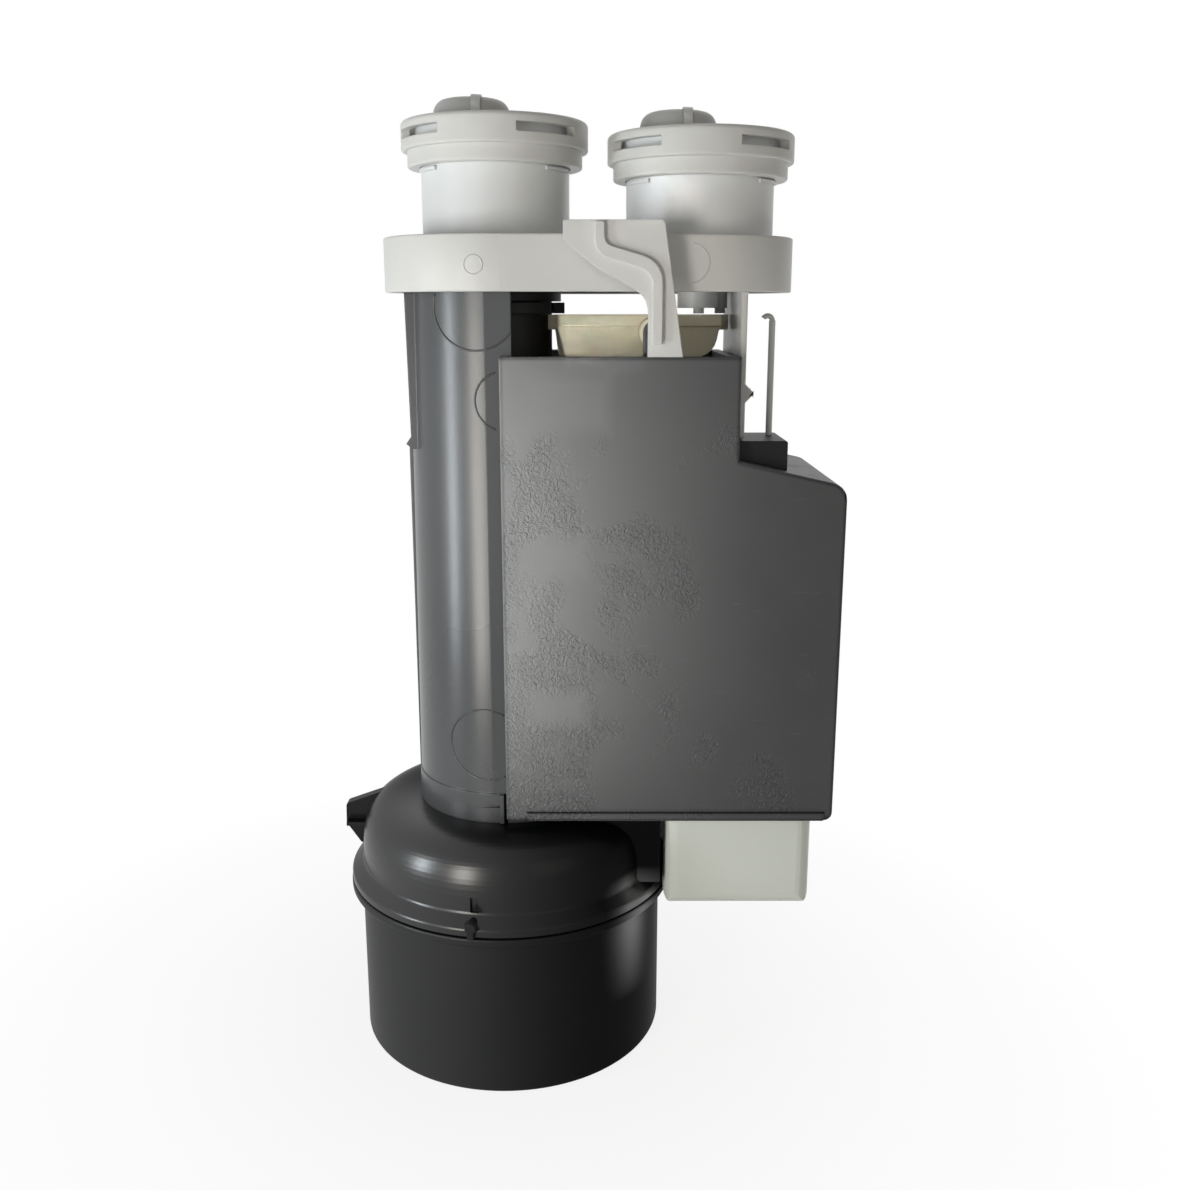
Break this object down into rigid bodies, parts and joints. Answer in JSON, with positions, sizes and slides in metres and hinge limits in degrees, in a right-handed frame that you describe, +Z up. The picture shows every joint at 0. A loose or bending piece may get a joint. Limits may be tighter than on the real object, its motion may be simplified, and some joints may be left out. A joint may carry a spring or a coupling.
{
  "type": "toilet flush valve",
  "caption": "Dual-flush drop valve for a toilet cistern: base cup with a turn-lock dome, column with a side flush box and float, and a white bridge with twin push buttons.",
  "frame": {"origin": "on the valve axis, at the mouth of the outlet socket and the bottom of the base cup", "axes": "+Z up along the valve axis, +X towards the flush box, the front of the valve faces -Y"},
  "size_m": [0.1456, 0.0995, 0.2747],
  "materials": {
    "black_gloss": "satin-gloss moulded polypropylene",
    "black_matte": "dull black moulding",
    "charcoal": "satin charcoal polypropylene",
    "box_grey": "matte grey recycled polypropylene with a mottled skin",
    "white_shell": "satin white ABS",
    "white_cup": "slightly cool white polypropylene",
    "knob_grey": "mid-grey moulding",
    "lever_cream": "cream acetal",
    "float_pale": "pale grey-green polypropylene",
    "rod_pale": "pale grey nylon",
    "seal_rubber": "soft rubber",
    "pin_steel": "plain stainless pin",
    "spring_steel": "stainless spring wire"
  },
  "bodies": {
    "base": {"base_cup": "black_gloss", "outlet_seal": "seal_rubber"},
    "body": {"valve_dome": "black_gloss", "index_peg": "black_matte", "column": "charcoal", "stem_guide": "white_shell", "flush_box": "box_grey", "rod_guide": "black_matte", "top_bridge": "white_shell", "latch_arm": "white_shell", "lever_pin": "pin_steel", "cup_left": "white_cup", "cup_right": "white_cup", "spring_left": "spring_steel", "spring_right": "spring_steel"},
    "ring_left": {"lock_ring_left": "white_shell"},
    "ring_right": {"lock_ring_right": "white_shell"},
    "left_button": {"button_left": "knob_grey", "push_arm": "white_cup"},
    "right_button": {"button_right": "knob_grey", "plunger": "white_cup"},
    "full_lever": {"flush_lever": "lever_cream"},
    "half_lever_body": {"half_lever": "lever_cream"},
    "lifter": {"lift_ring": "black_matte"},
    "stem": {"overflow_stem": "black_matte", "seal_washer": "seal_rubber", "seal_nut": "white_shell"},
    "float": {"float_tub": "float_pale", "float_lid": "float_pale", "float_rod": "rod_pale"}
  },
  "joints": [
    {"name": "body_turn", "type": "hinge", "parent": "base", "child": "body", "pos_m": [0, 0, 0.05], "axis": [0, 0, 1], "range_deg": [0, 30]},
    {"name": "ring_left_turn", "type": "hinge", "parent": "body", "child": "ring_left", "pos_m": [-0.0012, 0, 0.262], "axis": [0, 0, 1], "range_deg": [0, 22]},
    {"name": "ring_right_turn", "type": "hinge", "parent": "body", "child": "ring_right", "pos_m": [0.0551, 0, 0.259], "axis": [0, 0, 1], "range_deg": [0, 22]},
    {"name": "left_button_press", "type": "slide", "parent": "body", "child": "left_button", "axis": [0, 0, -1], "range_m": [0, 0.004], "stiffness_N_per_m": 500, "deforming": ["spring_left"]},
    {"name": "right_button_press", "type": "slide", "parent": "body", "child": "right_button", "axis": [0, 0, -1], "range_m": [0, 0.004], "stiffness_N_per_m": 500, "deforming": ["spring_right"]},
    {"name": "flush_lever_rock", "type": "hinge", "parent": "body", "child": "full_lever", "pos_m": [0.0423, 0, 0.213], "axis": [0, 1, 0], "range_deg": [0, 20.5]},
    {"name": "half_lever_rock", "type": "hinge", "parent": "body", "child": "half_lever_body", "pos_m": [0.0423, 0, 0.213], "axis": [0, 1, 0], "range_deg": [0, 12.8]},
    {"name": "half_lift", "type": "slide", "parent": "body", "child": "lifter", "axis": [0, 0, 1], "range_m": [0, 0.006]},
    {"name": "stem_lift", "type": "slide", "parent": "lifter", "child": "stem", "axis": [0, 0, 1], "range_m": [0, 0.0111]},
    {"name": "float_rise", "type": "slide", "parent": "body", "child": "float", "axis": [0, 0, 1], "range_m": [0, 0.015]}
  ],
  "couplings": [
    {"joint": "flush_lever_rock", "follows": "right_button_press", "rad_per_m": 88.75},
    {"joint": "stem_lift", "follows": "right_button_press", "ratio": 2.75},
    {"joint": "half_lever_rock", "follows": "left_button_press", "rad_per_m": 55.5},
    {"joint": "half_lift", "follows": "left_button_press", "ratio": 1.475}
  ]
}
